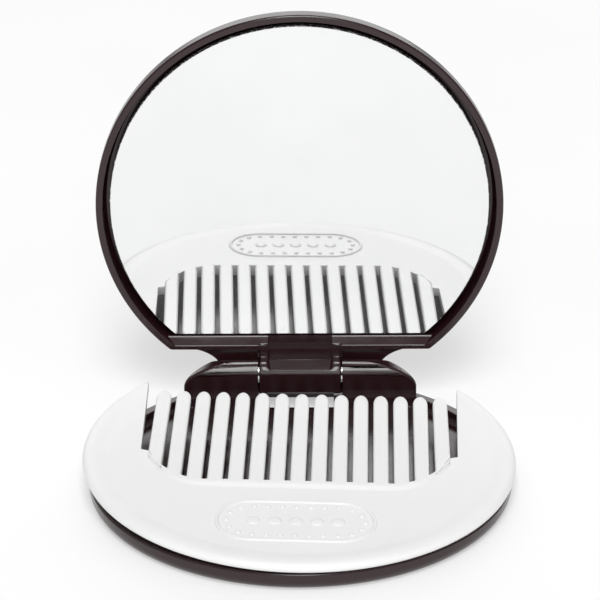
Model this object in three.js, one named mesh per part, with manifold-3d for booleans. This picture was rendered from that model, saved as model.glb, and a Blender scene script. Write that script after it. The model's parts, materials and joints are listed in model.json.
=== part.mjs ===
import * as THREE from 'three';
import * as BufferGeometryUtils from 'three/addons/utils/BufferGeometryUtils.js';
import Module from 'manifold-3d';

// A round pocket mirror that opens like a sandwich biscuit, with a loose comb on its base.
// Lengths are in millimetres. X runs across, +Y points to the hinge and +Z up.
// The origin is the middle of the base's underside.

// Case, both halves
const shellRadius = 35;
const rimWidth = 1.65;
const rimRounding = 0.35;

// Base tray
const baseFlare = 0.15;
const baseHeight = 3.1;
const baseFloor = 1.3;
const trayCornerRadius = 0.9;
const bottomEdgeRadius = 1.9;

// Comb
const combOverhang = 0.95;
const plateThickness = 1.6;
const combRimRise = 0.25;
const combRimInset = 1.7;
const combRimBand = 3.2;
const combEdgeHeight = 0.8;
const combEdgeInset = 1.1;
const toothHeight = 2.1;
const toothTipHeight = 1;
const toothCount = 15;
const toothPitch = 3.386;
const slotWidth = 0.87;
const outerSlotWidth = 1.3;
const toothLength = 31.9;
const toothTaper = 3;
const toothRootReach = 0.5;
const bankReach = 0.7;
const toothBevel = 0.35;
const tipToHinge = 6.65;
const outerToothLength = 21.8;
const outerSlotStep = 0.43;
const fieldCornerReach = 12;
const fieldCornerRise = 21.3;
const straightSlotShare = 4.5;

// How the loose comb lies: its rear and its left side up, and turned a little
const combPitch = THREE.MathUtils.degToRad(2.15);
const combRoll = THREE.MathUtils.degToRad(1.08);
const combTurn = THREE.MathUtils.degToRad(1.51);
const combShiftX = -0.22;
const combShiftY = 0.1;
const combSeatGap = 0.16;
const combLidGap = 0.23;

// Raised ornament on the comb
const ornamentLength = 26;
const ornamentWidth = 12.5;
const ornamentFromEdge = 13.5;
const ornamentLine = 0.7;
const ornamentRise = 0.3;
const ornamentSink = 0.3;
const pipCount = 5;
const pipRadius = 1.15;
const beadCount = 24;
const beadRadius = 0.45;
const beadInset = 1.9;

// Lid
const lidDepth = 4.5;
const lidSideDepth = 2;
const chordInset = 8.46;
const chordRimWidth = 2;
const lowerEdgeRise = 0.9;
const lowerEdgeDepth = 0.7;
const mirrorRecess = 1.5;
const glassThickness = 1.3;
const glassSideGap = 0.3;
const layerGap = 0.25;
const tapeThickness = 0.35;
const tapeInset = 1.2;

// Hinge
const openAngle = THREE.MathUtils.degToRad(90);
const hingeInset = 4.95;
const axisToLidFace = 1.5;
const knuckleRadius = 2;
const blockHalfWidth = 20.4;
const shoulderReach = 10;
const shoulderDrop = 4.2;
const centreKnuckleWidth = 14.3;
const knuckleGap = 0.25;
const heelDrop = 3.55;
const heelRounding = 0.6;
const heelClearance = 0.4;
const pinRadius = 0.8;
const pinLength = 26;
const boreClearance = 0.2;
const pinEndGap = 0.4;
const channelPinch = 0.25;

// Ledge and window at the foot of the hinge
const ledgeDepth = 1.45;
const windowWidth = 11.8;
const windowLead = 0.45;
const windowDepth = 6.85;

// Web that carries the lid behind the knuckles
const webGap = 0.5;
const webThickness = 2.7;
const webHalfWidth = 14.4;
const webFlare = 6.6;
const webDrop = 0.9;
const webNeckRise = 0.6;
const webCornerRadius = 0.8;

// Recess in the front of the lid's arm
const panelWidth = 11.3;
const panelDepth = 0.5;
const panelEndAngle = THREE.MathUtils.degToRad(11);
const notchDepth = 1.6;

// Cuts run past the surface they cut by this much
const overrun = 1;

// Facets
const roundFacets = 72;
const edgeFacets = 3;
const smallFacets = 10;
const toothFacets = 4;
const dotFacets = 4;
const mergeDistance = 1e-4;

// Sizes that follow from the ones above
const baseRadius = shellRadius + baseFlare;
const pocketRadius = shellRadius - rimWidth;
const hingeY = shellRadius - hingeInset;
const blockFront = hingeY - knuckleRadius;
const ledgeFront = blockFront - ledgeDepth;
const windowFront = ledgeFront - windowLead;
const combRadius = shellRadius + combOverhang;
const combCrest = plateThickness + combRimRise;
const tipLine = blockFront - tipToHinge;
const toothHalf = (toothPitch - slotWidth) / 2;
const outerToothX = (toothCount - 1) / 2 * toothPitch;
const fieldSide = outerToothX + toothHalf;
const hornInner = fieldSide + outerSlotWidth;

// The tilted comb rests on the rim at its lowest edge and just clears the closed lid
const combLean = Math.acos(Math.cos(combPitch) * Math.cos(combRoll));
const combBottom = baseHeight + combSeatGap + Math.sin(combLean) * (combRadius - combEdgeInset);
const hornReach = Math.sqrt((combRadius - combRimInset) ** 2 - hornInner ** 2);
const hornTop = combCrest + Math.sin(combPitch) * hornReach + Math.sin(combRoll) * hornInner;
const tipTop = toothTipHeight + Math.sin(combPitch) * tipLine + Math.sin(combRoll) * outerToothX;
const lidPlane = combBottom + Math.max(hornTop, tipTop) + combLidGap;

const hingeZ = lidPlane - axisToLidFace;
const lean = openAngle - Math.PI / 2;
const boreRadius = pinRadius + boreClearance;
const chordFromCentre = shellRadius - chordInset;
const chordZ = hingeY - chordFromCentre;
const pocketChord = chordFromCentre - chordRimWidth;
const lidBackY = axisToLidFace + lidDepth;
const glassFront = axisToLidFace + mirrorRecess;
const glassBack = glassFront + glassThickness;
const tapeFront = glassBack + layerGap;
const tapeBack = tapeFront + tapeThickness;
const pocketFloor = tapeBack + layerGap;
const webFront = knuckleRadius + webGap;
const webBack = webFront + webThickness;
const gapHalfWidth = centreKnuckleWidth / 2 + knuckleGap;

const wasm = await Module();
wasm.setup();

const axisX = new THREE.Vector3(1, 0, 0);
const axisY = new THREE.Vector3(0, 1, 0);
const axisZ = new THREE.Vector3(0, 0, 1);
const quarter = Math.PI / 2;

// A closed geometry becomes a solid that can be joined and cut
function solid(geometry) {
  const bare = geometry.clone();
  bare.deleteAttribute('normal');
  bare.deleteAttribute('uv');
  const merged = BufferGeometryUtils.mergeVertices(bare, mergeDistance);
  const corners = merged.index.array;
  const kept = [];
  for (let i = 0; i < corners.length; i += 3) {
    const [a, b, c] = [corners[i], corners[i + 1], corners[i + 2]];
    if (a !== b && b !== c && c !== a) {
      kept.push(a, b, c);
    }
  }
  return new wasm.Manifold(new wasm.Mesh({
    numProp: 3,
    vertProperties: new Float32Array(merged.attributes.position.array),
    triVerts: new Uint32Array(kept),
  }));
}

function geometryOf(body) {
  const mesh = body.getMesh();
  const geometry = new THREE.BufferGeometry();
  geometry.setAttribute('position', new THREE.BufferAttribute(mesh.vertProperties, 3));
  geometry.setIndex(new THREE.BufferAttribute(mesh.triVerts, 1));
  geometry.computeVertexNormals();
  return geometry;
}

function box(low, high) {
  const geometry = new THREE.BoxGeometry(high[0] - low[0], high[1] - low[1], high[2] - low[2]);
  geometry.translate((low[0] + high[0]) / 2, (low[1] + high[1]) / 2, (low[2] + high[2]) / 2);
  return solid(geometry);
}

// A shape drawn in Y and Z, made solid from one X to another
function alongX(shape, from, to, facets = smallFacets) {
  const options = { depth: to - from, bevelEnabled: false, curveSegments: facets };
  const geometry = new THREE.ExtrudeGeometry(shape, options);
  geometry.applyMatrix4(new THREE.Matrix4().makeBasis(axisY, axisZ, axisX));
  geometry.translate(from, 0, 0);
  return geometry;
}

// A shape drawn in X and Z, made solid from one Y to another
function alongY(shape, from, to, facets = smallFacets) {
  const options = { depth: to - from, bevelEnabled: false, curveSegments: facets };
  const geometry = new THREE.ExtrudeGeometry(shape, options);
  geometry.applyMatrix4(new THREE.Matrix4().makeBasis(axisX, axisZ, axisY.clone().negate()));
  geometry.translate(0, to, 0);
  return geometry;
}

// A shape drawn in X and Y, made solid from one Z to another
function alongZ(shape, from, to, facets = smallFacets) {
  const options = { depth: to - from, bevelEnabled: false, curveSegments: facets };
  const geometry = new THREE.ExtrudeGeometry(shape, options);
  geometry.translate(0, 0, from);
  return geometry;
}

// A rod along X, centred on the hinge line
function rodAlongX(radius, from, to) {
  const shape = new THREE.Shape();
  shape.absarc(0, 0, radius, 0, 4 * quarter, false);
  return alongX(shape, from, to);
}

// Points of an elliptical arc in a turned profile, each a radius and a height
function arc(centre, radii, from, to, facets = edgeFacets) {
  const points = [];
  for (let i = 0; i <= facets; i += 1) {
    const angle = from + (to - from) * i / facets;
    const radius = centre[0] + radii[0] * Math.cos(angle);
    points.push([radius, centre[1] + radii[1] * Math.sin(angle)]);
  }
  return points;
}

// A profile turned about Y
function turned(points) {
  const profile = points.map(([radius, height]) => new THREE.Vector2(radius, height));
  return new THREE.LatheGeometry(profile, roundFacets);
}

// The same, turned about Z
function turnedUp(points) {
  const geometry = turned(points);
  geometry.rotateX(quarter);
  return geometry;
}

// A disc with one straight edge below its centre
function chordDisc(radius, chord, centreZ) {
  const start = -Math.asin(chord / radius);
  const shape = new THREE.Shape();
  shape.absarc(0, centreZ, radius, start, Math.PI - start, false);
  shape.closePath();
  return shape;
}

function material(name, colour, roughness, metalness) {
  return new THREE.MeshStandardMaterial({ name, color: colour, roughness, metalness });
}

const brownPlastic = material('brown_plastic', 0x3c2e30, 0.32, 0);
const whitePlastic = material('white_plastic', 0xf1f1ef, 0.3, 0);
const mirrorFinish = material('mirror', 0xf4f6f7, 0.02, 1);
const padFoam = material('pad', 0xe9e7e0, 0.9, 0);
const steel = material('steel', 0xc9ccd0, 0.25, 1);

function piece(name, geometry, finish) {
  const mesh = new THREE.Mesh(geometry, finish);
  mesh.name = name;
  return mesh;
}

// Base tray: a shallow dish with a rounded bottom edge
function trayBody() {
  const cornerUp = baseFloor + trayCornerRadius;
  const edge = [bottomEdgeRadius, bottomEdgeRadius];
  const rim = [rimRounding, rimRounding];
  const corner = [trayCornerRadius, trayCornerRadius];
  const profile = [
    [0, 0],
    ...arc([baseRadius - bottomEdgeRadius, bottomEdgeRadius], edge, -quarter, 0),
    ...arc([baseRadius - rimRounding, baseHeight - rimRounding], rim, 0, quarter),
    [pocketRadius, baseHeight],
    ...arc([pocketRadius - trayCornerRadius, cornerUp], corner, 0, -quarter),
    [0, baseFloor],
  ];
  return solid(turnedUp(profile));
}

// Side view of the hinge block: an upright front and back under a round top
function blockSide() {
  const shape = new THREE.Shape();
  shape.moveTo(blockFront, baseFloor / 2);
  shape.lineTo(hingeY + knuckleRadius, baseFloor / 2);
  shape.lineTo(hingeY + knuckleRadius, hingeZ);
  shape.absarc(hingeY, hingeZ, knuckleRadius, 0, 2 * quarter, false);
  shape.closePath();
  return shape;
}

// Front view of the hinge block: both ends slope down in a round shoulder
function blockFrontView() {
  const foot = hingeZ + knuckleRadius - shoulderDrop;
  const crest = blockHalfWidth - shoulderReach;
  const shape = new THREE.Shape();
  shape.moveTo(-blockHalfWidth, 0);
  shape.lineTo(blockHalfWidth, 0);
  shape.lineTo(blockHalfWidth, foot);
  shape.absellipse(crest, foot, shoulderReach, shoulderDrop, 0, quarter, false);
  shape.absellipse(-crest, foot, shoulderReach, shoulderDrop, quarter, 2 * quarter, false);
  shape.closePath();
  return shape;
}

function roundPlan(height) {
  const round = new THREE.Shape();
  round.absarc(0, 0, baseRadius - rimRounding, 0, 4 * quarter, false);
  return solid(alongZ(round, 0, height, roundFacets));
}

function hingeBlock() {
  const side = solid(alongX(blockSide(), -blockHalfWidth - overrun, blockHalfWidth + overrun));
  const front = solid(alongY(blockFrontView(), 0, baseRadius + overrun));
  return side.intersect(front).intersect(roundPlan(hingeZ + knuckleRadius + overrun));
}

// What the base gives up so that the lid's knuckle, its heel and the pin can turn
function hingeRoom() {
  const reach = Math.hypot(knuckleRadius, heelDrop) + heelClearance;
  const turning = rodAlongX(reach, -gapHalfWidth, gapHalfWidth);
  turning.translate(0, hingeY, hingeZ);
  const above = box(
    [-gapHalfWidth, blockFront - overrun, hingeZ],
    [gapHalfWidth, baseRadius + overrun, hingeZ + reach],
  );
  const boreHalf = pinLength / 2 + pinEndGap;
  const bore = rodAlongX(boreRadius, -boreHalf, boreHalf);
  bore.translate(0, hingeY, hingeZ);
  const halfChannel = boreRadius - channelPinch;
  const channel = box(
    [-boreHalf, hingeY, hingeZ - halfChannel],
    [boreHalf, baseRadius + overrun, hingeZ + halfChannel],
  );
  return solid(turning).add(above).add(solid(bore)).add(channel);
}

function baseShell() {
  const ledge = box(
    [-blockHalfWidth, ledgeFront, baseFloor / 2],
    [blockHalfWidth, hingeY, baseHeight],
  ).intersect(roundPlan(baseHeight));
  const floorWindow = box(
    [-windowWidth / 2, windowFront, -overrun],
    [windowWidth / 2, windowFront + windowDepth, baseHeight],
  );
  const whole = trayBody().add(hingeBlock()).add(ledge);
  return geometryOf(whole.subtract(hingeRoom()).subtract(floorWindow));
}

// Lid, drawn upright with the hinge line as its origin and its face towards the front
function lidDish() {
  const backRadius = lidDepth - lidSideDepth;
  const rim = [rimRounding, rimRounding];
  const back = [backRadius, backRadius];
  const profile = [
    [0, 0],
    ...arc([shellRadius - rimRounding, rimRounding], rim, -quarter, 0),
    ...arc([shellRadius - backRadius, lidSideDepth], back, 0, quarter, 2 * edgeFacets),
    [0, lidDepth],
  ];
  const disc = turned(profile);
  disc.translate(0, axisToLidFace, hingeY);
  const beyond = box(
    [-shellRadius, 0, hingeY - shellRadius - overrun],
    [shellRadius, lidBackY + overrun, chordZ],
  );
  const pocketShape = chordDisc(pocketRadius, pocketChord, hingeY);
  const pocket = solid(alongY(pocketShape, axisToLidFace - overrun, pocketFloor, roundFacets));
  const edge = new THREE.Shape();
  edge.moveTo(axisToLidFace, chordZ);
  edge.lineTo(axisToLidFace + lowerEdgeDepth, chordZ);
  edge.lineTo(axisToLidFace, chordZ + lowerEdgeRise);
  edge.closePath();
  const lowerEdge = solid(alongX(edge, -shellRadius, shellRadius));
  return solid(disc).subtract(beyond).subtract(pocket).subtract(lowerEdge);
}

// The web behind the knuckles flares out to meet the lid's straight edge
function lidWeb() {
  const top = chordZ + chordRimWidth / 2;
  const flared = webHalfWidth + webFlare;
  const corner = webHalfWidth - webCornerRadius;
  const neck = -webDrop + webCornerRadius;
  const bend = webHalfWidth + (chordZ - webNeckRise) / 2;
  const shape = new THREE.Shape();
  shape.moveTo(flared, top);
  shape.lineTo(flared, chordZ);
  shape.quadraticCurveTo(bend, chordZ - webNeckRise, webHalfWidth, webNeckRise);
  shape.lineTo(webHalfWidth, neck);
  shape.absarc(corner, neck, webCornerRadius, 0, -quarter, true);
  shape.absarc(-corner, neck, webCornerRadius, -quarter, -2 * quarter, true);
  shape.lineTo(-webHalfWidth, webNeckRise);
  shape.quadraticCurveTo(-bend, chordZ - webNeckRise, -flared, chordZ);
  shape.lineTo(-flared, top);
  shape.closePath();
  return solid(alongY(shape, webFront, webBack));
}

// Where a line from the lid's front corner touches the knuckle
const cornerReach = Math.hypot(axisToLidFace, chordZ);
const cornerAngle = Math.atan2(chordZ, axisToLidFace);
const touchAngle = cornerAngle + Math.acos(knuckleRadius / cornerReach);
const panelAngle = Math.PI - panelEndAngle;

// Side view of the lid's arm: a ramp from the face down to the knuckle, and a heel below
function armSide() {
  const top = chordZ + chordRimWidth / 2;
  const heel = heelRounding - heelDrop;
  const back = webFront + webThickness / 2;
  const shape = new THREE.Shape();
  shape.moveTo(back, top);
  shape.lineTo(axisToLidFace, top);
  shape.lineTo(axisToLidFace, chordZ);
  shape.absarc(0, 0, knuckleRadius, touchAngle, 2 * quarter, false);
  shape.absarc(heelRounding - knuckleRadius, heel, heelRounding, 2 * quarter, 3 * quarter, false);
  shape.absarc(knuckleRadius - heelRounding, heel, heelRounding, -quarter, 0, false);
  shape.lineTo(knuckleRadius, -webDrop);
  shape.lineTo(back, -webDrop);
  shape.closePath();
  return shape;
}

// Side view of the sunk panel on that ramp
function panelSide() {
  const floor = knuckleRadius - panelDepth;
  const proud = knuckleRadius + overrun;
  const inward = [-Math.cos(touchAngle) * panelDepth, -Math.sin(touchAngle) * panelDepth];
  const shape = new THREE.Shape();
  shape.moveTo(axisToLidFace + inward[0], chordZ + inward[1]);
  shape.absarc(0, 0, floor, touchAngle, panelAngle, false);
  shape.lineTo(proud * Math.cos(panelAngle), proud * Math.sin(panelAngle));
  shape.lineTo(-proud, chordZ + inward[1]);
  shape.closePath();
  return shape;
}

function lidShell() {
  const half = centreKnuckleWidth / 2;
  const arm = solid(alongX(armSide(), -half, half));
  const panel = solid(alongX(panelSide(), -panelWidth / 2, panelWidth / 2));
  const notch = box(
    [-panelWidth / 2, -knuckleRadius - overrun, chordZ],
    [panelWidth / 2, axisToLidFace + notchDepth, chordZ + chordRimWidth + overrun],
  );
  const bore = solid(rodAlongX(boreRadius, -half - overrun, half + overrun));
  const lid = lidDish().add(lidWeb()).add(arm);
  return geometryOf(lid.subtract(panel).subtract(notch).subtract(bore));
}

function mirrorGlass() {
  const shape = chordDisc(pocketRadius - glassSideGap, pocketChord - glassSideGap, hingeY);
  return alongY(shape, glassFront, glassBack, roundFacets);
}

function mirrorTape() {
  const inset = glassSideGap + tapeInset;
  const shape = chordDisc(pocketRadius - inset, pocketChord - inset, hingeY);
  return alongY(shape, tapeFront, tapeBack, roundFacets / 2);
}

function hingePin() {
  return rodAlongX(pinRadius, -pinLength / 2, pinLength / 2);
}

// Comb: drawn with its centre as origin and its underside at zero height
const fieldEnd = tipLine - toothLength;
const straightHalf = straightSlotShare * toothPitch;

// How far back the closed end of a slot lies at a given place across the comb
function slotEndAt(x) {
  const past = Math.max(Math.abs(x) - straightHalf, 0) / fieldCornerReach;
  return fieldEnd + fieldCornerRise * (1 - Math.sqrt(Math.max(1 - past ** 2, 0)));
}

// Points of the line of slot ends, moved forward by the given reach
function slotEndLine(reach) {
  const steps = 2 * toothCount;
  const points = [];
  for (let i = 0; i <= steps; i += 1) {
    const x = fieldSide * (2 * i / steps - 1);
    points.push([x, slotEndAt(x) - reach]);
  }
  return points;
}

// The open field that the teeth cross
function toothField() {
  const outerEnd = tipLine - outerToothLength;
  const shape = new THREE.Shape();
  const beyond = combRadius + overrun;
  shape.moveTo(-hornInner, beyond);
  shape.lineTo(-hornInner, outerEnd);
  shape.lineTo(-fieldSide, outerEnd - outerSlotStep);
  for (const [x, y] of slotEndLine(0)) {
    shape.lineTo(x, y);
  }
  shape.lineTo(fieldSide, outerEnd - outerSlotStep);
  shape.lineTo(hornInner, outerEnd);
  shape.lineTo(hornInner, beyond);
  shape.closePath();
  return shape;
}

// A bar with a tapered tip that thins evenly from its root
function tooth(index) {
  const x = (index - (toothCount - 1) / 2) * toothPitch;
  const left = x - toothHalf;
  const right = x + toothHalf;
  const shape = new THREE.Shape();
  shape.moveTo(left, slotEndAt(left) - toothRootReach);
  shape.lineTo(right, slotEndAt(right) - toothRootReach);
  shape.absellipse(x, tipLine - toothTaper, toothHalf, toothTaper, 0, 2 * quarter, false);
  shape.closePath();
  const geometry = new THREE.ExtrudeGeometry(shape, {
    depth: toothHeight - 2 * toothBevel,
    bevelThickness: toothBevel,
    bevelSize: toothBevel,
    bevelOffset: -toothBevel,
    bevelSegments: 1,
    curveSegments: toothFacets,
  });
  geometry.translate(0, 0, toothBevel);
  const root = slotEndAt(x);
  const places = geometry.attributes.position;
  for (let i = 0; i < places.count; i += 1) {
    const past = Math.max(places.getY(i) - root, 0) / (tipLine - root);
    places.setZ(i, places.getZ(i) * (1 - past * (1 - toothTipHeight / toothHeight)));
  }
  return solid(geometry);
}

// The raised bank in front of the slots, as high as the teeth
function toothBank() {
  const shape = new THREE.Shape();
  shape.moveTo(-fieldSide, tipLine);
  for (const [x, y] of slotEndLine(bankReach)) {
    shape.lineTo(x, y);
  }
  shape.lineTo(fieldSide, tipLine);
  shape.closePath();
  return solid(alongZ(shape, plateThickness / 2, toothHeight));
}

function combPlate() {
  const below = [combEdgeInset, combEdgeHeight];
  const above = [combRimInset, combCrest - combEdgeHeight];
  const profile = [
    [0, 0],
    ...arc([combRadius - combEdgeInset, combEdgeHeight], below, -quarter, 0),
    ...arc([combRadius - combRimInset, combEdgeHeight], above, 0, quarter),
    [combRadius - combRimBand, plateThickness],
    [0, plateThickness],
  ];
  const field = solid(alongZ(toothField(), -overrun, combCrest + overrun));
  return solid(turnedUp(profile)).add(toothBank()).subtract(field);
}

// A round-ended outline of the given length and width
function roundEnded(length, width) {
  const run = (length - width) / 2;
  const shape = new THREE.Shape();
  shape.absarc(run, 0, width / 2, -quarter, quarter, false);
  shape.absarc(-run, 0, width / 2, quarter, 3 * quarter, false);
  shape.closePath();
  return shape;
}

function pip(radius, x, y) {
  const shape = new THREE.Shape();
  shape.absarc(x, y, radius, 0, 4 * quarter, false);
  return solid(alongZ(shape, -ornamentSink, ornamentRise, dotFacets));
}

// A plain biscuit pattern: a round-ended border, beads inside it and a row of pips
function ornament() {
  const ring = roundEnded(ornamentLength, ornamentWidth);
  const inner = roundEnded(ornamentLength - 2 * ornamentLine, ornamentWidth - 2 * ornamentLine);
  ring.holes.push(inner);
  let raised = solid(alongZ(ring, -ornamentSink, ornamentRise));
  const beadLine = roundEnded(ornamentLength - 2 * beadInset, ornamentWidth - 2 * beadInset);
  for (const spot of beadLine.getSpacedPoints(beadCount).slice(1)) {
    raised = raised.add(pip(beadRadius, spot.x, spot.y));
  }
  const pipPitch = (ornamentLength - ornamentWidth) / (pipCount - 1);
  for (let i = 0; i < pipCount; i += 1) {
    raised = raised.add(pip(pipRadius, (i - (pipCount - 1) / 2) * pipPitch, 0));
  }
  return raised.translate([0, ornamentFromEdge - combRadius, plateThickness]);
}

function comb() {
  let body = combPlate();
  for (let i = 0; i < toothCount; i += 1) {
    body = body.add(tooth(i));
  }
  return geometryOf(body.add(ornament()));
}

// Assembly
const compact = new THREE.Group();
compact.add(piece('base_shell', baseShell(), brownPlastic));

const lid = new THREE.Group();
lid.position.set(0, hingeY, hingeZ);
lid.rotation.x = -lean;
lid.add(piece('lid_shell', lidShell(), brownPlastic));
lid.add(piece('mirror_glass', mirrorGlass(), mirrorFinish));
lid.add(piece('mirror_tape', mirrorTape(), padFoam));
lid.add(piece('hinge_pin', hingePin(), steel));
compact.add(lid);

const looseComb = new THREE.Group();
looseComb.position.set(combShiftX, combShiftY, combBottom);
looseComb.rotation.set(combPitch, combRoll, -combTurn);
looseComb.add(piece('comb', comb(), whitePlastic));
compact.add(looseComb);

export default compact;
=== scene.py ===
import json
import math

import bmesh
import bpy
from mathutils import Matrix, Vector


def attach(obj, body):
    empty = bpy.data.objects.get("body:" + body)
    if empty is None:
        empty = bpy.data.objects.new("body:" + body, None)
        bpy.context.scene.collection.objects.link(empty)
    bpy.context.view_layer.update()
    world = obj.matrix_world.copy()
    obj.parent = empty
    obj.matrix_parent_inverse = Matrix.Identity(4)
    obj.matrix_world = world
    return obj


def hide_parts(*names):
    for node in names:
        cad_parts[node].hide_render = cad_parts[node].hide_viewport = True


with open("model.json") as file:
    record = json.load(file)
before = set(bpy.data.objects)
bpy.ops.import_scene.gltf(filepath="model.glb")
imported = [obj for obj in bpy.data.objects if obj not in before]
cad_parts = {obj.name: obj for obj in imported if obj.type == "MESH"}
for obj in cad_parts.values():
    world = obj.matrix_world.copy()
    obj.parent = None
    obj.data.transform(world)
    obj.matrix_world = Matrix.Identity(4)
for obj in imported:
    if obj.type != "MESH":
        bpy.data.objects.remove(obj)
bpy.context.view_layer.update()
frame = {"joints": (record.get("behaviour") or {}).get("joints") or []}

# A round pocket mirror standing open, with its loose comb laid on the base.
# Shapes are built in millimetres and become metres when a piece is finished.
MM = 0.001

# Case, both halves
SHELL_RADIUS = 35.0
RIM_WIDTH = 1.65
RIM_ROUNDING = 0.35
RIM_INNER_ROUNDING = 0.2
CHORD_CORNER = 0.3

# Base tray
BASE_FLARE = 0.15
BASE_HEIGHT = 3.1
BASE_FLOOR = 1.3
TRAY_CORNER = 0.9
BOTTOM_EDGE = 1.9

# Comb
COMB_OVERHANG = 0.95
COMB_TRIM = 0.03
PLATE_THICKNESS = 1.6
COMB_RIM_RISE = 0.25
COMB_RIM_INSET = 1.7
COMB_RIM_BAND = 4.2
COMB_EDGE_HEIGHT = 0.8
COMB_EDGE_INSET = 1.1
TOOTH_HEIGHT = 2.1
TOOTH_TIP_HEIGHT = 1.0
TOOTH_COUNT = 15
TOOTH_PITCH = 3.386
SLOT_WIDTH = 0.87
OUTER_SLOT_WIDTH = 1.3
TOOTH_LENGTH = 31.9
TOOTH_TAPER = 3.0
TOOTH_ROOT_REACH = 0.5
BANK_REACH = 0.55
BANK_SLOPE = 1.3
TOOTH_ROUNDING = 0.42
TOOTH_FOOT_ROUNDING = 0.15
TIP_TO_HINGE = 6.65
OUTER_TOOTH_LENGTH = 21.8
OUTER_SLOT_STEP = 0.43
HORN_FLARE = 0.4
HORN_BLUNTING = 1.1
FIELD_CORNER_REACH = 12.0
FIELD_CORNER_RISE = 21.3
STRAIGHT_SLOT_SHARE = 4.5

# How the loose comb lies
COMB_PITCH = math.radians(2.15)
COMB_ROLL = math.radians(1.08)
COMB_TURN = math.radians(1.51)
COMB_SHIFT_X = -0.22
COMB_SHIFT_Y = 0.1
COMB_SEAT_GAP = 0.16

# Ornament on the comb
ORNAMENT_LENGTH = 26.0
ORNAMENT_WIDTH = 12.5
ORNAMENT_FROM_EDGE = 13.5
ORNAMENT_LINE = 0.7
ORNAMENT_RISE = 0.28
ORNAMENT_SINK = 0.3
PIP_COUNT = 5
PIP_RADIUS = 1.15
BEAD_COUNT = 24
BEAD_RADIUS = 0.45
BEAD_INSET = 1.9

# Lid
LID_DEPTH = 4.5
LID_SIDE_DEPTH = 2.0
CHORD_INSET = 8.46
CHORD_RIM_WIDTH = 2.0
GROOVE_RADIUS = 33.8
GROOVE_WIDTH = 1.15
SILL_FACE = 0.74
SILL_FOOT = 1.77
SILL_GAP = 0.08
MIRROR_RECESS = 1.5
GLASS_THICKNESS = 1.3
GLASS_SIDE_GAP = 0.3
GLASS_EDGE = 0.12
GLASS_CORNER = 0.6
LAYER_GAP = 0.25
TAPE_THICKNESS = 0.35
TAPE_INSET = 1.2
TAPE_EDGE = 0.1
TAPE_CORNER = 1.5

# Hinge
OPEN_ANGLE = math.radians(90)
KNUCKLE_RADIUS = 2.0
AXIS_TO_LID_FACE = 1.5
BLOCK_HALF_WIDTH = 20.4
SHOULDER_REACH = 10.0
SHOULDER_DROP = 4.2
SHOULDER_ROUNDING = 0.4
CENTRE_KNUCKLE_WIDTH = 14.3
KNUCKLE_GAP = 0.25
HEEL_DROP = 3.55
HEEL_ROUNDING = 0.6
HEEL_CLEARANCE = 0.4
PIN_RADIUS = 0.8
PIN_LENGTH = 26.0
PIN_CHAMFER = 0.18
BORE_CLEARANCE = 0.2
PIN_END_GAP = 0.4
CHANNEL_PINCH = 0.25

# Ledge and window at the foot of the hinge
LEDGE_DEPTH = 1.45
WINDOW_WIDTH = 11.8
WINDOW_LEAD = 0.45
WINDOW_DEPTH = 6.85

# Web that carries the lid behind the knuckles
WEB_GAP = 0.5
WEB_THICKNESS = 2.7
WEB_HALF_WIDTH = 14.4
WEB_FLARE = 6.6
WEB_DROP = 0.9
WEB_NECK_RISE = 0.6
WEB_CORNER = 0.8
WEB_ROUNDING = 0.3

# Recess in the front of the lid's arm, and the notch above it
PANEL_WIDTH = 11.3
PANEL_WALL = 1.8
PANEL_FLOOR = 1.34
PANEL_FLOOR_SLOPE = math.radians(6)
PANEL_BEND = 0.06
PANEL_CORNER = 0.9
PANEL_CORNER_DROP = 0.225
NOTCH_DEPTH = 1.6
ARM_ROUNDING = 0.25

# Rounding of the last edges, and how far a cut runs past the surface
EDGE_ROUNDING = 0.1
OVERRUN = 1.0

# Edges sharper than these are rounded
EDGE_ANGLE = math.radians(35)
SHOULDER_ANGLE = math.radians(30)
STEEP_ANGLE = math.radians(50)

# Edges flatter than the first are merged away, and flatter than the second shaded smooth
FLAT_ANGLE = math.radians(0.15)
SMOOTH_ANGLE = math.radians(40)

# Fineness: steps round a whole circle
ROUND_STEPS = 256
TURNING_STEPS = 96
PIN_STEPS = 48
BORE_STEPS = 32
DOT_STEPS = 24

# Fineness: steps along part of a curve
KNUCKLE_STEPS = 24
CURVE_STEPS = 20
LONG_ARC_STEPS = 16
COMB_EDGE_STEPS = 12
ARC_STEPS = 10
SLOPE_STEPS = 8
SHORT_ARC_STEPS = 6
RIM_STEPS = 5
CORNER_STEPS = 4
BORDER_STEPS = 32
BEAD_LINE_STEPS = 48

# Fineness: steps across a rounded edge
SHOULDER_STEPS = 4
SOFT_STEPS = 3
EDGE_STEPS = 2
WELD = 0.003

# Sizes that follow
BASE_RADIUS = SHELL_RADIUS + BASE_FLARE
POCKET_RADIUS = SHELL_RADIUS - RIM_WIDTH
HINGE = Vector(next(j for j in frame["joints"] if j["name"] == "lid_hinge")["pos_m"]) / MM
BLOCK_FRONT = HINGE.y - KNUCKLE_RADIUS
LEDGE_FRONT = BLOCK_FRONT - LEDGE_DEPTH
WINDOW_FRONT = LEDGE_FRONT - WINDOW_LEAD
COMB_RADIUS = SHELL_RADIUS + COMB_OVERHANG - COMB_TRIM
COMB_CREST = PLATE_THICKNESS + COMB_RIM_RISE
TIP_LINE = BLOCK_FRONT - TIP_TO_HINGE
TOOTH_HALF = (TOOTH_PITCH - SLOT_WIDTH) / 2
OUTER_TOOTH_X = (TOOTH_COUNT - 1) / 2 * TOOTH_PITCH
FIELD_SIDE = OUTER_TOOTH_X + TOOTH_HALF
HORN_INNER = FIELD_SIDE + OUTER_SLOT_WIDTH
FIELD_END = TIP_LINE - TOOTH_LENGTH
COMB_LEAN = math.acos(math.cos(COMB_PITCH) * math.cos(COMB_ROLL))
COMB_RAISE = math.sin(COMB_LEAN) * (COMB_RADIUS - COMB_EDGE_INSET)
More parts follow.
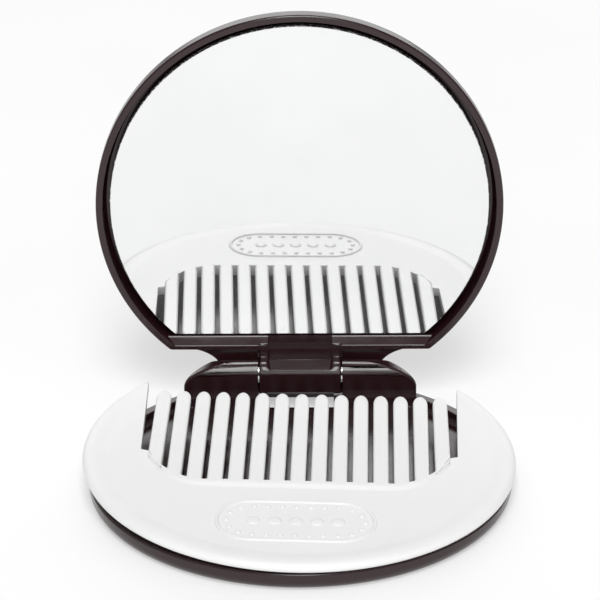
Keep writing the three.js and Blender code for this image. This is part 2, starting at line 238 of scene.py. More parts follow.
COMB_BOTTOM = BASE_HEIGHT + COMB_SEAT_GAP + COMB_RAISE
LEAN = OPEN_ANGLE - math.pi / 2
BORE_RADIUS = PIN_RADIUS + BORE_CLEARANCE
CHORD_FROM_CENTRE = SHELL_RADIUS - CHORD_INSET
CHORD_Z = HINGE.y - CHORD_FROM_CENTRE
POCKET_CHORD = CHORD_FROM_CENTRE - CHORD_RIM_WIDTH
LID_BACK = AXIS_TO_LID_FACE + LID_DEPTH
GLASS_FRONT = AXIS_TO_LID_FACE + MIRROR_RECESS
GLASS_BACK = GLASS_FRONT + GLASS_THICKNESS
TAPE_FRONT = GLASS_BACK + LAYER_GAP
TAPE_BACK = TAPE_FRONT + TAPE_THICKNESS
POCKET_FLOOR = TAPE_BACK + LAYER_GAP
WEB_FRONT = KNUCKLE_RADIUS + WEB_GAP
WEB_BACK = WEB_FRONT + WEB_THICKNESS
GAP_HALF_WIDTH = CENTRE_KNUCKLE_WIDTH / 2 + KNUCKLE_GAP

LID_PLACE = Matrix.Translation(HINGE) @ Matrix.Rotation(-LEAN, 4, "X")
COMB_PLACE = (
    Matrix.Translation((COMB_SHIFT_X, COMB_SHIFT_Y, COMB_BOTTOM))
    @ Matrix.Rotation(COMB_PITCH, 4, "X")
    @ Matrix.Rotation(COMB_ROLL, 4, "Y")
    @ Matrix.Rotation(-COMB_TURN, 4, "Z")
)
QUARTER = math.pi / 2


# Outlines, each a list of points in a plane
def arc(centre, radii, start, end, steps=ARC_STEPS):
    points = []
    for i in range(steps + 1):
        angle = start + (end - start) * i / steps
        x = centre[0] + radii[0] * math.cos(angle)
        points.append((x, centre[1] + radii[1] * math.sin(angle)))
    return points


def circle(radius, steps, centre=(0, 0)):
    return arc(centre, (radius, radius), 0, 4 * QUARTER, steps)[:-1]


def rectangle(low, high):
    return [low, (high[0], low[1]), high, (low[0], high[1])]


def chord_disc(radius, chord, corner=CHORD_CORNER):
    """A disc with one straight edge below its centre, its two corners softened."""
    low = corner - chord
    corner_x = math.sqrt((radius - corner) ** 2 - low**2)
    lowest = math.atan2(low, corner_x)
    highest = math.pi - lowest
    corner_z = HINGE.y + low
    soft = (corner, corner)
    points = arc((0, HINGE.y), (radius, radius), lowest, highest, ROUND_STEPS)
    left = arc((-corner_x, corner_z), soft, highest, 3 * QUARTER, CORNER_STEPS)
    right = arc((corner_x, corner_z), soft, -QUARTER, lowest, CORNER_STEPS)
    return points + left[1:] + right[:-1]


def round_ended(length, width, steps):
    """An outline with two straight sides and round ends."""
    run = (length - width) / 2
    half = (width / 2, width / 2)
    right = arc((run, 0), half, -QUARTER, QUARTER, steps)
    return right + arc((-run, 0), half, QUARTER, 3 * QUARTER, steps)


# Solids, each a mesh object in millimetres
def solid(points, faces):
    mesh = bpy.data.meshes.new("shape")
    mesh.from_pydata(points, [], faces)
    thing = bpy.data.objects.new("shape", mesh)
    bpy.context.scene.collection.objects.link(thing)
    form = bmesh.new()
    form.from_mesh(mesh)
    bmesh.ops.remove_doubles(form, verts=form.verts, dist=WELD)
    form.to_mesh(mesh)
    form.free()
    return outward(thing)


def outward(thing):
    """Turns all the faces of a closed body outwards."""
    form = bmesh.new()
    form.from_mesh(thing.data)
    bmesh.ops.recalc_face_normals(form, faces=form.faces)
    form.to_mesh(thing.data)
    form.free()
    return thing


def band(first, second, count):
    """Faces between two closed rows of points, each given by the number of its first point."""
    faces = []
    for i in range(count):
        j = (i + 1) % count
        faces.append((first + i, first + j, second + j, second + i))
    return faces


def layered(layers, ring=False):
    """A body through outlines of as many points each. A ring joins the last to the first."""
    count = len(layers[0])
    points = [p for layer in layers for p in layer]
    last = (len(layers) - 1) * count
    faces = [] if ring else [tuple(range(count))[::-1]]
    for first in range(0, last, count):
        faces += band(first, first + count, count)
    faces += band(last, 0, count) if ring else [tuple(range(last, last + count))]
    return solid(points, faces)


def along_x(outline, start, end):
    return layered([[(x, y, z) for y, z in outline] for x in (start, end)])


def along_y(outline, start, end):
    return layered([[(x, y, z) for x, z in outline] for y in (start, end)])


def along_z(outline, start, end):
    return layered([[(x, y, z) for x, y in outline] for z in (start, end)])


def box(low, high):
    return along_z(rectangle(low[:2], high[:2]), low[2], high[2])


def turned(profile, steps=ROUND_STEPS):
    """A profile of radii and heights turned about Z, flat across both its ends."""
    return layered([[(x, y, z) for x, y in circle(radius, steps)] for radius, z in profile])


def placed(thing, matrix):
    thing.data.transform(matrix)
    return thing


def settled(thing):
    """Keeps what the modifiers make of the mesh, and drops the modifiers."""
    depsgraph = bpy.context.evaluated_depsgraph_get()
    mesh = bpy.data.meshes.new_from_object(thing.evaluated_get(depsgraph))
    thing.modifiers.clear()
    old = thing.data
    thing.data = mesh
    bpy.data.meshes.remove(old)
    return thing


def combined(thing, operation, tools):
    for tool in tools:
        step = thing.modifiers.new("combined", "BOOLEAN")
        step.object = tool
        step.operation = operation
        step.solver = "MANIFOLD"
    settled(thing)
    for tool in tools:
        mesh = tool.data
        bpy.data.objects.remove(tool)
        bpy.data.meshes.remove(mesh)
    return thing


def joined(thing, *tools):
    return combined(thing, "UNION", tools)


def cut(thing, *tools):
    return combined(thing, "DIFFERENCE", tools)


def shared(thing, *tools):
    return combined(thing, "INTERSECT", tools)


def cleaned(thing):
    """Welds stray points and merges the flat faces that a cut left in strips."""
    form = bmesh.new()
    form.from_mesh(thing.data)
    bmesh.ops.remove_doubles(form, verts=form.verts, dist=WELD)
    bmesh.ops.dissolve_degenerate(form, edges=form.edges, dist=WELD)
    bmesh.ops.dissolve_limit(form, angle_limit=FLAT_ANGLE, verts=form.verts, edges=form.edges)
    form.to_mesh(thing.data)
    form.free()
    return thing


def rounded(thing, width, steps, sharper_than=EDGE_ANGLE):
    soft = thing.modifiers.new("rounded", "BEVEL")
    soft.width = width
    soft.segments = steps
    soft.limit_method = "ANGLE"
    soft.angle_limit = sharper_than
    soft.use_clamp_overlap = False
    return settled(thing)


def edge_marked(thing, direction, squareness=0.9):
    """Gives the second finish to every face that doesn't lie square to the given direction."""
    for polygon in thing.data.polygons:
        polygon.material_index = 0 if abs(polygon.normal.dot(direction)) > squareness else 1
    return thing


def finished(thing, name, finishes, body, node):
    """Names a piece, turns it into metres, shades it smooth and sets it on its body."""
    thing.name = name
    thing.data.name = name
    thing.data.transform(Matrix.Scale(MM, 4))
    for polygon in thing.data.polygons:
        polygon.use_smooth = True
    thing.data.set_sharp_from_angle(angle=SMOOTH_ANGLE)
    even = thing.modifiers.new("even", "WEIGHTED_NORMAL")
    even.keep_sharp = True
    settled(thing)
    marks = [polygon.material_index for polygon in thing.data.polygons]
    thing.data.materials.clear()
    for finish in finishes:
        thing.data.materials.append(finish)
    for polygon, mark in zip(thing.data.polygons, marks):
        polygon.material_index = min(mark, len(finishes) - 1)
    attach(thing, body)
    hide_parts(node)
    return thing


# Base: a shallow tray with the hinge block on its rear
def tray():
    edge = (BOTTOM_EDGE, BOTTOM_EDGE)
    rim = (RIM_ROUNDING, RIM_ROUNDING)
    inner = (RIM_INNER_ROUNDING, RIM_INNER_ROUNDING)
    corner = (TRAY_CORNER, TRAY_CORNER)
    top = BASE_HEIGHT - RIM_ROUNDING
    inner_centre = (POCKET_RADIUS + RIM_INNER_ROUNDING, BASE_HEIGHT - RIM_INNER_ROUNDING)
    corner_centre = (POCKET_RADIUS - TRAY_CORNER, BASE_FLOOR + TRAY_CORNER)
    return turned(
        arc((BASE_RADIUS - BOTTOM_EDGE, BOTTOM_EDGE), edge, -QUARTER, 0)
        + arc((BASE_RADIUS - RIM_ROUNDING, top), rim, 0, QUARTER, RIM_STEPS)
        + arc(inner_centre, inner, QUARTER, 2 * QUARTER, CORNER_STEPS)
        + arc(corner_centre, corner, 0, -QUARTER, SLOPE_STEPS)
    )


def round_plan(height):
    """What the hinge block and the ledge keep inside the case's round outline."""
    return along_z(circle(BASE_RADIUS - RIM_ROUNDING, ROUND_STEPS), 0, height)


def hinge_block():
    """The two knuckles: round on top, with shoulders that slope down at both ends."""
    foot = HINGE.z + KNUCKLE_RADIUS - SHOULDER_DROP
    crest = BLOCK_HALF_WIDTH - SHOULDER_REACH
    back = HINGE.y + KNUCKLE_RADIUS
    knuckle = (KNUCKLE_RADIUS, KNUCKLE_RADIUS)
    side = [(BLOCK_FRONT, BASE_FLOOR / 2), (back, BASE_FLOOR / 2)]
    side += arc((HINGE.y, HINGE.z), knuckle, 0, 2 * QUARTER, KNUCKLE_STEPS)
    shoulder = (SHOULDER_REACH, SHOULDER_DROP)
    front = [(-BLOCK_HALF_WIDTH, 0), (BLOCK_HALF_WIDTH, 0)]
    front += arc((crest, foot), shoulder, 0, QUARTER, KNUCKLE_STEPS)
    front += arc((-crest, foot), shoulder, QUARTER, 2 * QUARTER, KNUCKLE_STEPS)
    reach = BLOCK_HALF_WIDTH + OVERRUN
    block = along_x(side, -reach, reach)
    block = shared(block, along_y(front, 0, BASE_RADIUS + OVERRUN))
    block = rounded(cleaned(block), SHOULDER_ROUNDING, SHOULDER_STEPS, SHOULDER_ANGLE)
    block = cut(block, *hinge_room(), floor_window())
    return shared(block, round_plan(HINGE.z + KNUCKLE_RADIUS + OVERRUN))


def hinge_room():
    """What the base gives up so that the lid's knuckle, its heel and the pin can turn."""
    reach = math.hypot(KNUCKLE_RADIUS, HEEL_DROP) + HEEL_CLEARANCE
    bore_half = PIN_LENGTH / 2 + PIN_END_GAP
    channel_half = BORE_RADIUS - CHANNEL_PINCH
    middle = (HINGE.y, HINGE.z)
    turning = along_x(circle(reach, TURNING_STEPS, middle), -GAP_HALF_WIDTH, GAP_HALF_WIDTH)
    above = box(
        (-GAP_HALF_WIDTH, BLOCK_FRONT - OVERRUN, HINGE.z),
        (GAP_HALF_WIDTH, BASE_RADIUS + OVERRUN, HINGE.z + reach),
    )
    bore = along_x(circle(BORE_RADIUS, BORE_STEPS, middle), -bore_half, bore_half)
    channel = box(
        (-bore_half, HINGE.y, HINGE.z - channel_half),
        (bore_half, BASE_RADIUS + OVERRUN, HINGE.z + channel_half),
    )
    return turning, above, bore, channel


def floor_window():
    return box(
        (-WINDOW_WIDTH / 2, WINDOW_FRONT, -OVERRUN),
        (WINDOW_WIDTH / 2, WINDOW_FRONT + WINDOW_DEPTH, BASE_HEIGHT),
    )


def base_case():
    reach = BLOCK_HALF_WIDTH + RIM_WIDTH / 2
    ledge = box((-reach, LEDGE_FRONT, BASE_FLOOR / 2), (reach, HINGE.y, BASE_HEIGHT))
    ledge = shared(ledge, round_plan(BASE_HEIGHT))
    case = cut(joined(tray(), ledge), *hinge_room(), floor_window())
    return joined(rounded(cleaned(case), EDGE_ROUNDING, EDGE_STEPS), hinge_block())


# Lid, drawn upright with the hinge line as its origin and its face towards the front
def face_forward(thing):
    """Turns what was drawn about Z so that its height runs along Y instead."""
    swapped = Matrix(((1, 0, 0, 0), (0, 0, 1, 0), (0, 1, 0, 0), (0, 0, 0, 1)))
    return outward(placed(thing, swapped))


def lid_dish():
    back = (LID_DEPTH - LID_SIDE_DEPTH, LID_DEPTH - LID_SIDE_DEPTH)
    rim = (RIM_ROUNDING, RIM_ROUNDING)
    profile = arc((SHELL_RADIUS - RIM_ROUNDING, RIM_ROUNDING), rim, -QUARTER, 0, RIM_STEPS)
    profile += arc((SHELL_RADIUS - back[0], LID_SIDE_DEPTH), back, 0, QUARTER, LONG_ARC_STEPS)
    disc = face_forward(turned(profile))
    placed(disc, Matrix.Translation((0, AXIS_TO_LID_FACE, HINGE.y)))
    beyond = box(
        (-SHELL_RADIUS - OVERRUN, 0, HINGE.y - SHELL_RADIUS - OVERRUN),
        (SHELL_RADIUS + OVERRUN, LID_BACK + OVERRUN, CHORD_Z),
    )
    return cut(disc, beyond, lid_pocket())


def lid_pocket():
    """The cutter for the mirror's seat: a groove round the glass and a sill below it."""
    sill_back = GLASS_FRONT - SILL_GAP
    sections = [
        (GROOVE_RADIUS, CHORD_FROM_CENTRE - SILL_FACE, AXIS_TO_LID_FACE - OVERRUN),
        (GROOVE_RADIUS, CHORD_FROM_CENTRE - SILL_FACE, AXIS_TO_LID_FACE),
        (GROOVE_RADIUS, CHORD_FROM_CENTRE - SILL_FOOT, sill_back),
        (GROOVE_RADIUS, POCKET_CHORD, GLASS_FRONT),
        (GROOVE_RADIUS, POCKET_CHORD, GLASS_BACK),
        (POCKET_RADIUS, POCKET_CHORD, POCKET_FLOOR),
    ]
    layers = []
    for radius, chord, depth in sections:
        layers.append([(x, depth, z) for x, z in chord_disc(radius, chord)])
    return layered(layers)


def lid_web():
    """The web behind the knuckles, which flares out to meet the lid's straight edge."""
    top = CHORD_Z + CHORD_RIM_WIDTH / 2
    flared = WEB_HALF_WIDTH + WEB_FLARE
    corner = (WEB_CORNER, WEB_CORNER)
    neck = WEB_CORNER - WEB_DROP
    bend = WEB_HALF_WIDTH + (CHORD_Z - WEB_NECK_RISE) / 2
    curve = []
    for i in range(CURVE_STEPS + 1):
        t = i / CURVE_STEPS
        x = (1 - t) ** 2 * flared + 2 * t * (1 - t) * bend + t**2 * WEB_HALF_WIDTH
        upper = ((1 - t) ** 2) * CHORD_Z + 2 * t * (1 - t) * (CHORD_Z - WEB_NECK_RISE)
        curve.append((x, upper + t**2 * WEB_NECK_RISE))
    foot = arc((WEB_HALF_WIDTH - WEB_CORNER, neck), corner, 0, -QUARTER, SHORT_ARC_STEPS)
    half = [(flared, top)] + curve + foot
    outline = half + [(-x, z) for x, z in reversed(half)]
    return rounded(along_y(outline, WEB_FRONT, WEB_BACK), WEB_ROUNDING, SOFT_STEPS)


def lid_arm():
    """The lid's face carried down to a step on the knuckle, and a heel below it."""
    top = CHORD_Z + CHORD_RIM_WIDTH / 2
    heel = HEEL_ROUNDING - HEEL_DROP
    reach = KNUCKLE_RADIUS - HEEL_ROUNDING
    back = WEB_FRONT + WEB_THICKNESS / 2
    knuckle = (KNUCKLE_RADIUS, KNUCKLE_RADIUS)
    soft = (HEEL_ROUNDING, HEEL_ROUNDING)
    side = [(back, top), (AXIS_TO_LID_FACE, top), (AXIS_TO_LID_FACE, KNUCKLE_RADIUS)]
    side += arc((0, 0), knuckle, QUARTER, 2 * QUARTER, KNUCKLE_STEPS)
    side += arc((-reach, heel), soft, 2 * QUARTER, 3 * QUARTER, SHORT_ARC_STEPS)
    side += arc((reach, heel), soft, -QUARTER, 0, SHORT_ARC_STEPS)
    side += [(KNUCKLE_RADIUS, -WEB_DROP), (back, -WEB_DROP)]
    half = CENTRE_KNUCKLE_WIDTH / 2
    return rounded(along_x(side, -half, half), ARM_ROUNDING, SOFT_STEPS, STEEP_ANGLE)


def lid_panel():
    """The cutter for the recess: an upright wall that bends into a shallow step."""
    proud = KNUCKLE_RADIUS + OVERRUN
    above = CHORD_Z + OVERRUN
    bend = (PANEL_BEND, PANEL_BEND)
    centre = (PANEL_WALL - PANEL_BEND, PANEL_FLOOR + PANEL_BEND)
    slope = math.tan(PANEL_FLOOR_SLOPE)
    sunk = [(PANEL_WALL, above)] + arc(centre, bend, 0, -QUARTER, SHORT_ARC_STEPS)
    sunk += [(-proud, PANEL_FLOOR - (PANEL_WALL + proud) * slope), (-proud, above)]
    half = PANEL_WIDTH / 2
    inner = half - PANEL_CORNER
    corner = (PANEL_CORNER, PANEL_CORNER)
    corner_z = PANEL_FLOOR - KNUCKLE_RADIUS * slope - PANEL_CORNER_DROP + PANEL_CORNER
    outline = arc((inner, corner_z), corner, -QUARTER, 0)
    outline += [(half, above), (-half, above)]
    outline += arc((-inner, corner_z), corner, 2 * QUARTER, 3 * QUARTER)
    panel = along_x(sunk, -half - OVERRUN, half + OVERRUN)
    return shared(panel, along_y(outline, -proud - OVERRUN, PANEL_WALL + OVERRUN))


def lid_case():
    half = CENTRE_KNUCKLE_WIDTH / 2
    notch = box(
        (-PANEL_WIDTH / 2, -KNUCKLE_RADIUS - OVERRUN, CHORD_Z),
        (PANEL_WIDTH / 2, AXIS_TO_LID_FACE + NOTCH_DEPTH, CHORD_Z + CHORD_RIM_WIDTH + OVERRUN),
    )
    bore = along_x(circle(BORE_RADIUS, BORE_STEPS), -half - OVERRUN, half + OVERRUN)
    case = joined(lid_dish(), lid_web(), lid_arm())
    case = rounded(cleaned(cut(case, lid_panel(), bore)), EDGE_ROUNDING, EDGE_STEPS)
    return cleaned(cut(case, notch))


def eased_chord_disc(radius, chord, front, back, ease, corner):
    """A flat plate of the mirror's outline with both its edges eased."""
    layers = []
    for spread, depth in ((-ease, front), (0, front + ease), (0, back - ease), (-ease, back)):
        outline = chord_disc(radius + spread, chord + spread, corner)
        layers.append([(x, depth, z) for x, z in outline])
    return layered(layers)


def mirror_plate():
    radius = GROOVE_RADIUS - GROOVE_WIDTH
    chord = POCKET_CHORD - GLASS_SIDE_GAP
    return eased_chord_disc(radius, chord, GLASS_FRONT, GLASS_BACK, GLASS_EDGE, GLASS_CORNER)


def mirror_pad():
    inset = GLASS_SIDE_GAP + TAPE_INSET
    radius = POCKET_RADIUS - inset
    chord = POCKET_CHORD - inset
    return eased_chord_disc(radius, chord, TAPE_FRONT, TAPE_BACK, TAPE_EDGE, TAPE_CORNER)


def hinge_pin():
    half = PIN_LENGTH / 2
    profile = [
        (PIN_RADIUS - PIN_CHAMFER, -half),
        (PIN_RADIUS, PIN_CHAMFER - half),
        (PIN_RADIUS, half - PIN_CHAMFER),
        (PIN_RADIUS - PIN_CHAMFER, half),
    ]
    return placed(turned(profile, PIN_STEPS), Matrix.Rotation(QUARTER, 4, "Y"))


# Comb, drawn with its centre as origin and its underside at zero height
def slot_end_at(x):
    """How far back the closed end of a slot lies at a given place across the comb."""
    past = max(abs(x) - STRAIGHT_SLOT_SHARE * TOOTH_PITCH, 0) / FIELD_CORNER_REACH
    return FIELD_END + FIELD_CORNER_RISE * (1 - math.sqrt(max(1 - past**2, 0)))


def slot_end_line(reach):
    """Points of the line of slot ends, moved forward by the given reach."""
    steps = 4 * TOOTH_COUNT
    points = []
    for i in range(steps + 1):
        x = FIELD_SIDE * (2 * i / steps - 1)
        points.append((x, slot_end_at(x) - reach))
    return points


def tooth_field():
    """The open field that the teeth cross. The horns beside it flare and end blunt."""
    outer_end = TIP_LINE - OUTER_TOOTH_LENGTH
    horn_x = HORN_INNER + HORN_FLARE
    horn_y = math.sqrt(COMB_RADIUS**2 - horn_x**2) - HORN_BLUNTING
    blunt = (HORN_BLUNTING, HORN_BLUNTING)
    beyond = COMB_RADIUS + OVERRUN
    tip = arc((horn_x + HORN_BLUNTING, horn_y), blunt, 2 * QUARTER, QUARTER, SHORT_ARC_STEPS)
    tip.append((horn_x + HORN_BLUNTING, beyond))
    right = [(FIELD_SIDE, outer_end - OUTER_SLOT_STEP), (HORN_INNER, outer_end)] + tip
    left = [(-x, y) for x, y in reversed(right)]
    return along_z(left + slot_end_line(0) + right, -OVERRUN, COMB_CREST + OVERRUN)


def tooth(index):
    """A bar with a tapered tip and rounded upper edges that thins evenly from its root."""
    x = (index - (TOOTH_COUNT - 1) / 2) * TOOTH_PITCH
    left_end = slot_end_at(x - TOOTH_HALF)
    right_end = slot_end_at(x + TOOTH_HALF)
    root = max(left_end, right_end)
    thinning = (1 - TOOTH_TIP_HEIGHT / TOOTH_HEIGHT) / (TIP_LINE - root)
    levels = [(TOOTH_FOOT_ROUNDING, 0), (0, TOOTH_FOOT_ROUNDING)]
    shoulder = TOOTH_HEIGHT - TOOTH_ROUNDING
    for i in range(CORNER_STEPS + 1):
        angle = QUARTER * i / CORNER_STEPS
        inset = TOOTH_ROUNDING * (1 - math.cos(angle))
        levels.append((inset, shoulder + TOOTH_ROUNDING * math.sin(angle)))
    layers = []
    for inset, height in levels:
        half = TOOTH_HALF - inset
        tip = (half, TOOTH_TAPER - inset)
        left = (x - half, left_end - TOOTH_ROOT_REACH)
        right = (x + half, right_end - TOOTH_ROOT_REACH)
        outline = [left, right, (x + half, root)]
        outline += arc((x, TIP_LINE - TOOTH_TAPER), tip, 0, 2 * QUARTER, LONG_ARC_STEPS)
        outline.append((x - half, root))
        thinned = [(px, py, height * (1 - thinning * max(py - root, 0))) for px, py in outline]
        layers.append(thinned)
    return layered(layers)


def tooth_bank():
    """The raised bank in front of the slots, with a soft slope down to the plate."""
    levels = [(BANK_REACH + BANK_SLOPE, PLATE_THICKNESS / 2)]
    for i in range(SLOPE_STEPS + 1):
        share = i / SLOPE_STEPS
        rise = (1 - math.cos(math.pi * share)) / 2
        height = PLATE_THICKNESS + (TOOTH_HEIGHT - PLATE_THICKNESS) * rise
        levels.append((BANK_REACH + BANK_SLOPE * (1 - share), height))
    layers = []
    for reach, height in levels:
        outline = [(-FIELD_SIDE, TIP_LINE)] + slot_end_line(reach) + [(FIELD_SIDE, TIP_LINE)]
        layers.append([(x, y, height) for x, y in outline])
    return layered(layers)


def comb_plate():
    """A disc with a rounded edge and a low crest round it that fades inwards."""
    below = (COMB_EDGE_INSET, COMB_EDGE_HEIGHT)
    above = (COMB_RIM_INSET, COMB_CREST - COMB_EDGE_HEIGHT)
    outer = (COMB_RADIUS - COMB_EDGE_INSET, COMB_EDGE_HEIGHT)
    inner = (COMB_RADIUS - COMB_RIM_INSET, COMB_EDGE_HEIGHT)
    profile = arc(outer, below, -QUARTER, 0, SLOPE_STEPS)
    profile += arc(inner, above, 0, QUARTER, COMB_EDGE_STEPS)[1:]
    width = COMB_RIM_BAND - COMB_RIM_INSET
    for i in range(1, SLOPE_STEPS + 1):
        share = i / SLOPE_STEPS
        height = PLATE_THICKNESS + COMB_RIM_RISE * (1 + math.cos(math.pi * share)) / 2
        profile.append((COMB_RADIUS - COMB_RIM_INSET - width * share, height))
    return turned(profile)


def dot(radius, x, y):
    """A low round dome that stands on the plate."""
    levels = [(1, -ORNAMENT_SINK), (1, 0)]
    for i in range(1, SHORT_ARC_STEPS):
        angle = QUARTER * i / SHORT_ARC_STEPS
        levels.append((math.cos(angle), ORNAMENT_RISE * math.sin(angle)))
    layers = []
    for share, height in levels:
        layers.append([(px, py, height) for px, py in circle(radius * share, DOT_STEPS, (x, y))])
    return layered(layers)


def border():
    """A round-ended line with a rounded top, as a closed ring."""
    half = ORNAMENT_LINE / 2
    section = [(-half, -ORNAMENT_SINK), (half, -ORNAMENT_SINK)]
    section += arc((0, 0), (half, ORNAMENT_RISE), 0, 2 * QUARTER, SLOPE_STEPS)
    layers = []
    for offset, height in section:
        grow = 2 * (offset - half)
        outline = round_ended(ORNAMENT_LENGTH + grow, ORNAMENT_WIDTH + grow, BORDER_STEPS)
        layers.append([(x, y, height) for x, y in outline])
    return layered(layers, ring=True)


def ornament():
    """A plain biscuit pattern: a round-ended border, beads inside it and a row of pips."""
    raised = [border()]
    length = ORNAMENT_LENGTH - 2 * BEAD_INSET
    width = ORNAMENT_WIDTH - 2 * BEAD_INSET
    for x, y in spaced(round_ended(length, width, BEAD_LINE_STEPS), BEAD_COUNT):
        raised.append(dot(BEAD_RADIUS, x, y))
    pip_pitch = (ORNAMENT_LENGTH - ORNAMENT_WIDTH) / (PIP_COUNT - 1)
    for i in range(PIP_COUNT):
        raised.append(dot(PIP_RADIUS, (i - (PIP_COUNT - 1) / 2) * pip_pitch, 0))
    shift = Matrix.Translation((0, ORNAMENT_FROM_EDGE - COMB_RADIUS, PLATE_THICKNESS))
    return [placed(thing, shift) for thing in raised]


def spaced(outline, count):
    """Places at even steps along a closed outline."""
    ends = outline[1:] + outline[:1]
    lengths = [math.dist(a, b) for a, b in zip(outline, ends)]
    step = sum(lengths) / count
    places = []
    passed = 0
    for start, end, length in zip(outline, ends, lengths):
        while len(places) < count and len(places) * step <= passed + length:
            share = (len(places) * step - passed) / max(length, WELD)
            x = start[0] + (end[0] - start[0]) * share
            places.append((x, start[1] + (end[1] - start[1]) * share))
        passed += length
    return places


def comb_moulding():
    plate = cut(joined(comb_plate(), tooth_bank()), tooth_field())
    teeth = [tooth(i) for i in range(TOOTH_COUNT)]
    moulding = cleaned(joined(plate, *teeth))
    moulding = rounded(moulding, EDGE_ROUNDING, EDGE_STEPS, STEEP_ANGLE)
    return joined(moulding, *ornament())


# Finishes
def finish(name):
    """A new finish: its node tree, its shader and the place on the piece, in metres."""
    made = bpy.data.materials.new(name)
    made.use_nodes = True
    tree = made.node_tree
    shader = tree.nodes["Principled BSDF"]
    place = tree.nodes.new("ShaderNodeTexCoord")
    return made, tree, shader, place.outputs["Object"]


def noise(tree, place, size, detail, stretch=None):
    """A noise whose features measure about the given size, in millimetres."""
    texture = tree.nodes.new("ShaderNodeTexNoise")
    texture.inputs["Scale"].default_value = 1 / (size * MM)
    texture.inputs["Detail"].default_value = detail
    if stretch:
        mapping = tree.nodes.new("ShaderNodeMapping")
        mapping.inputs["Scale"].default_value = stretch
        tree.links.new(place, mapping.inputs["Vector"])
        place = mapping.outputs["Vector"]
    tree.links.new(place, texture.inputs["Vector"])
    return texture.outputs["Fac"]


def ramp(tree, value, low, high, start=0.3, end=0.7):
    """Spreads a value from 0 to 1 over the given two numbers or colours."""
    node = tree.nodes.new("ShaderNodeValToRGB")
    node.color_ramp.elements[0].position = start
    node.color_ramp.elements[1].position = end
    for element, shade in zip(node.color_ramp.elements, (low, high)):
        colour = shade if isinstance(shade, tuple) else (shade, shade, shade)
        element.color = (*colour, 1)
    tree.links.new(value, node.inputs["Fac"])
    return node.outputs["Color"]


def bump(tree, shader, heights):
    """Stacks fine reliefs, each a value and its depth in millimetres."""
    normal = None
    for value, depth in heights:
        node = tree.nodes.new("ShaderNodeBump")
        node.inputs["Distance"].default_value = depth * MM
        node.inputs["Strength"].default_value = 1.0
        tree.links.new(value, node.inputs["Height"])
        if normal:
            tree.links.new(normal, node.inputs["Normal"])
        normal = node.outputs["Normal"]
    tree.links.new(normal, shader.inputs["Normal"])


def brown_plastic():
    made, tree, shader, place = finish("brown_gloss_plastic")
    cloud = noise(tree, place, size=14, detail=2)
    colour = ramp(tree, cloud, low=(0.019, 0.0055, 0.0072), high=(0.022, 0.0068, 0.0085))
    tree.links.new(colour, shader.inputs["Base Color"])
    handling = noise(tree, place, size=5, detail=4)
    tree.links.new(ramp(tree, handling, low=0.16, high=0.27), shader.inputs["Roughness"])
    shader.inputs["IOR"].default_value = 1.5
    fine = noise(tree, place, size=0.35, detail=2)
    scuffs = noise(tree, place, size=1.2, detail=2, stretch=(1, 14, 14))
    bump(tree, shader, [(fine, 0.0008), (scuffs, 0.0010)])
    return made


def white_plastic():
    made, tree, shader, place = finish("white_satin_plastic")
    cloud = noise(tree, place, size=18, detail=2)
    colour = ramp(tree, cloud, low=(0.815, 0.815, 0.812), high=(0.835, 0.835, 0.832))
    tree.links.new(colour, shader.inputs["Base Color"])
    handling = noise(tree, place, size=11, detail=2)
    tree.links.new(ramp(tree, handling, low=0.38, high=0.44), shader.inputs["Roughness"])
    shader.inputs["IOR"].default_value = 1.49
    fine = noise(tree, place, size=0.4, detail=2)
    bump(tree, shader, [(fine, 0.0006)])
    return made


def mirror_finish():
    """Silvered glass with a thin film of dust, which greys the darks that it shows."""
    made, tree, shader, place = finish("silvered_glass")
    smudge = noise(tree, place, size=9, detail=5)
    colour = ramp(tree, smudge, low=(0.84, 0.845, 0.845), high=(0.86, 0.865, 0.865))
    tree.links.new(colour, shader.inputs["Base Color"])
    shader.inputs["Metallic"].default_value = 0.94
    tree.links.new(ramp(tree, smudge, low=0.015, high=0.035), shader.inputs["Roughness"])
    return made


def ground_edge():
    """The ground rim of the glass, with chips along it; the bright spots in its colour are
    painted glints.
    """
    made, tree, shader, place = finish("ground_glass_edge")
    chips_and_painted_glints = noise(tree, place, size=0.5, detail=4)
    # Painted glints: the bright spots of colour stand in for light caught on the chipped edge,
    # which is otherwise dark.
    colour = ramp(tree, chips_and_painted_glints, (0.06, 0.055, 0.055), (0.75, 0.76, 0.76), start=0.5, end=0.62)
    tree.links.new(colour, shader.inputs["Base Color"])
    tree.links.new(ramp(tree, chips_and_painted_glints, low=0.5, high=0.2), shader.inputs["Roughness"])
    bump(tree, shader, [(chips_and_painted_glints, 0.02)])
    return made


def steel():
    made, tree, shader, place = finish("drawn_steel")
    lines = noise(tree, place, size=0.3, detail=2, stretch=(0.05, 1, 1))
    colour = ramp(tree, lines, low=(0.55, 0.56, 0.57), high=(0.66, 0.67, 0.68))
    tree.links.new(colour, shader.inputs["Base Color"])
    shader.inputs["Metallic"].default_value = 1.0
    tree.links.new(ramp(tree, lines, low=0.2, high=0.34), shader.inputs["Roughness"])
    bump(tree, shader, [(lines, 0.002)])
    return made


def pad_foam():
    made, tree, shader, place = finish("pad_foam")
    cells = noise(tree, place, size=0.25, detail=4)
    colour = ramp(tree, cells, low=(0.66, 0.65, 0.61), high=(0.78, 0.77, 0.74))
    tree.links.new(colour, shader.inputs["Base Color"])
    shader.inputs["Roughness"].default_value = 0.85
    bump(tree, shader, [(cells, 0.03)])
    return made


def floor_paper():
    made, tree, shader, place = finish("white_table")
    cloud = noise(tree, place, size=60, detail=2)
    colour = ramp(tree, cloud, low=(0.54, 0.54, 0.54), high=(0.56, 0.56, 0.56))
    tree.links.new(colour, shader.inputs["Base Color"])
    shader.inputs["Roughness"].default_value = 0.7
    shader.inputs["Emission Color"].default_value = (1, 1, 1, 1)
    shader.inputs["Emission Strength"].default_value = FLOOR_GLOW
    return made


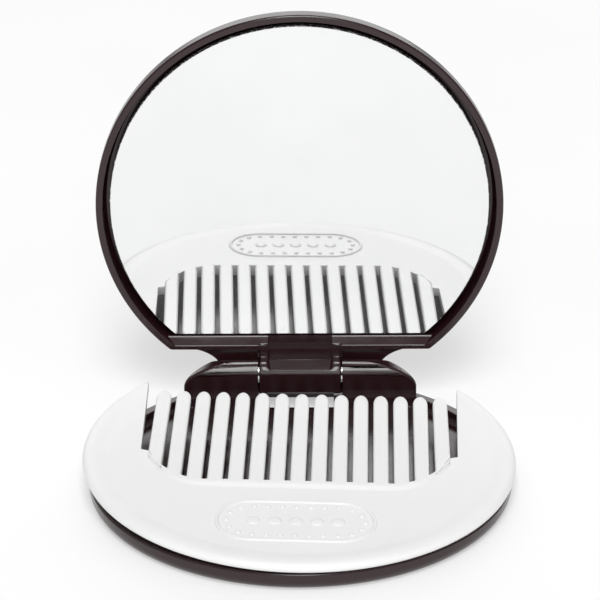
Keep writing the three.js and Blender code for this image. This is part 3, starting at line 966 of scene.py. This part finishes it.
# Studio. Distances are in metres, and brightness is a multiple of plain white
FLOOR_HALF = 6.0
FLOOR_DROP = 0.00005
FLOOR_GLOW = 0.42
WORLD_BRIGHTNESS = 0.36
CAMERA_PLACE = (0.00002, -0.42501, 0.22702)
CAMERA_TILT = math.radians(65.572)
CAMERA_ROLL = math.radians(-0.211)
LENS = 172.96
SENSOR_WIDTH = 36
VIEW_NEAREST = 0.01
VIEW_FARTHEST = 50

# Each softbox: azimuth with 0 in front, elevation, distance, width, height, brightness
SOFTBOXES = {
    "front_box": (0, 53, 1.6, 0.5, 1.2, 10.0),
    "low_front_box": (0, 17, 1.6, 0.3, 0.9, 2.2),
    "back_box": (180, 22, 2.0, 2.6, 1.0, 1.7),
}


def studio():
    corners = rectangle((-FLOOR_HALF, -FLOOR_HALF), (FLOOR_HALF, FLOOR_HALF))
    floor = solid([(x, y, 0) for x, y in corners], [(0, 1, 2, 3)])
    floor.name = "floor"
    floor.data.materials.append(floor_paper())
    floor.location.z = -FLOOR_DROP
    world = bpy.data.worlds.new("studio")
    bpy.context.scene.world = world
    world.use_nodes = True
    background = world.node_tree.nodes["Background"]
    background.inputs["Color"].default_value = (1, 1, 1, 1)
    background.inputs["Strength"].default_value = WORLD_BRIGHTNESS
    for name, settings in SOFTBOXES.items():
        softbox(name, *settings)
    bpy.context.scene.view_settings.view_transform = "Standard"


def softbox(name, azimuth, elevation, distance, width, height, brightness):
    """A soft rectangle of light that faces the object."""
    light = bpy.data.lights.new(name, "AREA")
    light.shape = "RECTANGLE"
    light.size = width
    light.size_y = height
    light.energy = brightness * math.pi * width * height
    lamp = bpy.data.objects.new(name, light)
    a = math.radians(azimuth)
    e = math.radians(elevation)
    out = Vector((math.sin(a) * math.cos(e), -math.cos(a) * math.cos(e), math.sin(e)))
    lamp.location = out * distance
    lamp.rotation_mode = "QUATERNION"
    lamp.rotation_quaternion = out.to_track_quat("Z", "Y")
    lamp.visible_camera = False
    bpy.context.scene.collection.objects.link(lamp)


def camera():
    lens = bpy.data.cameras.new("camera")
    lens.lens = LENS
    lens.sensor_width = SENSOR_WIDTH
    lens.clip_start = VIEW_NEAREST
    lens.clip_end = VIEW_FARTHEST
    thing = bpy.data.objects.new("camera", lens)
    thing.matrix_world = (
        Matrix.Translation(CAMERA_PLACE)
        @ Matrix.Rotation(CAMERA_TILT, 4, "X")
        @ Matrix.Rotation(CAMERA_ROLL, 4, "Z")
    )
    bpy.context.scene.collection.objects.link(thing)
    bpy.context.scene.camera = thing


# Assembly
camera()
brown = brown_plastic()
finished(base_case(), "base_case", [brown], "base", "base_shell")
lid = placed(lid_case(), LID_PLACE)
finished(lid, "lid_case", [brown], "lid", "lid_shell")
plate = placed(edge_marked(mirror_plate(), Vector((0, 1, 0))), LID_PLACE)
silver = [mirror_finish(), ground_edge()]
finished(plate, "mirror_plate", silver, "lid", "mirror_glass")
pad = placed(mirror_pad(), LID_PLACE)
finished(pad, "mirror_pad", [pad_foam()], "lid", "mirror_tape")
pin = placed(hinge_pin(), LID_PLACE)
finished(pin, "steel_hinge_pin", [steel()], "lid", "hinge_pin")
comb = placed(comb_moulding(), COMB_PLACE)
finished(comb, "comb_moulding", [white_plastic()], "comb", "comb")
studio()
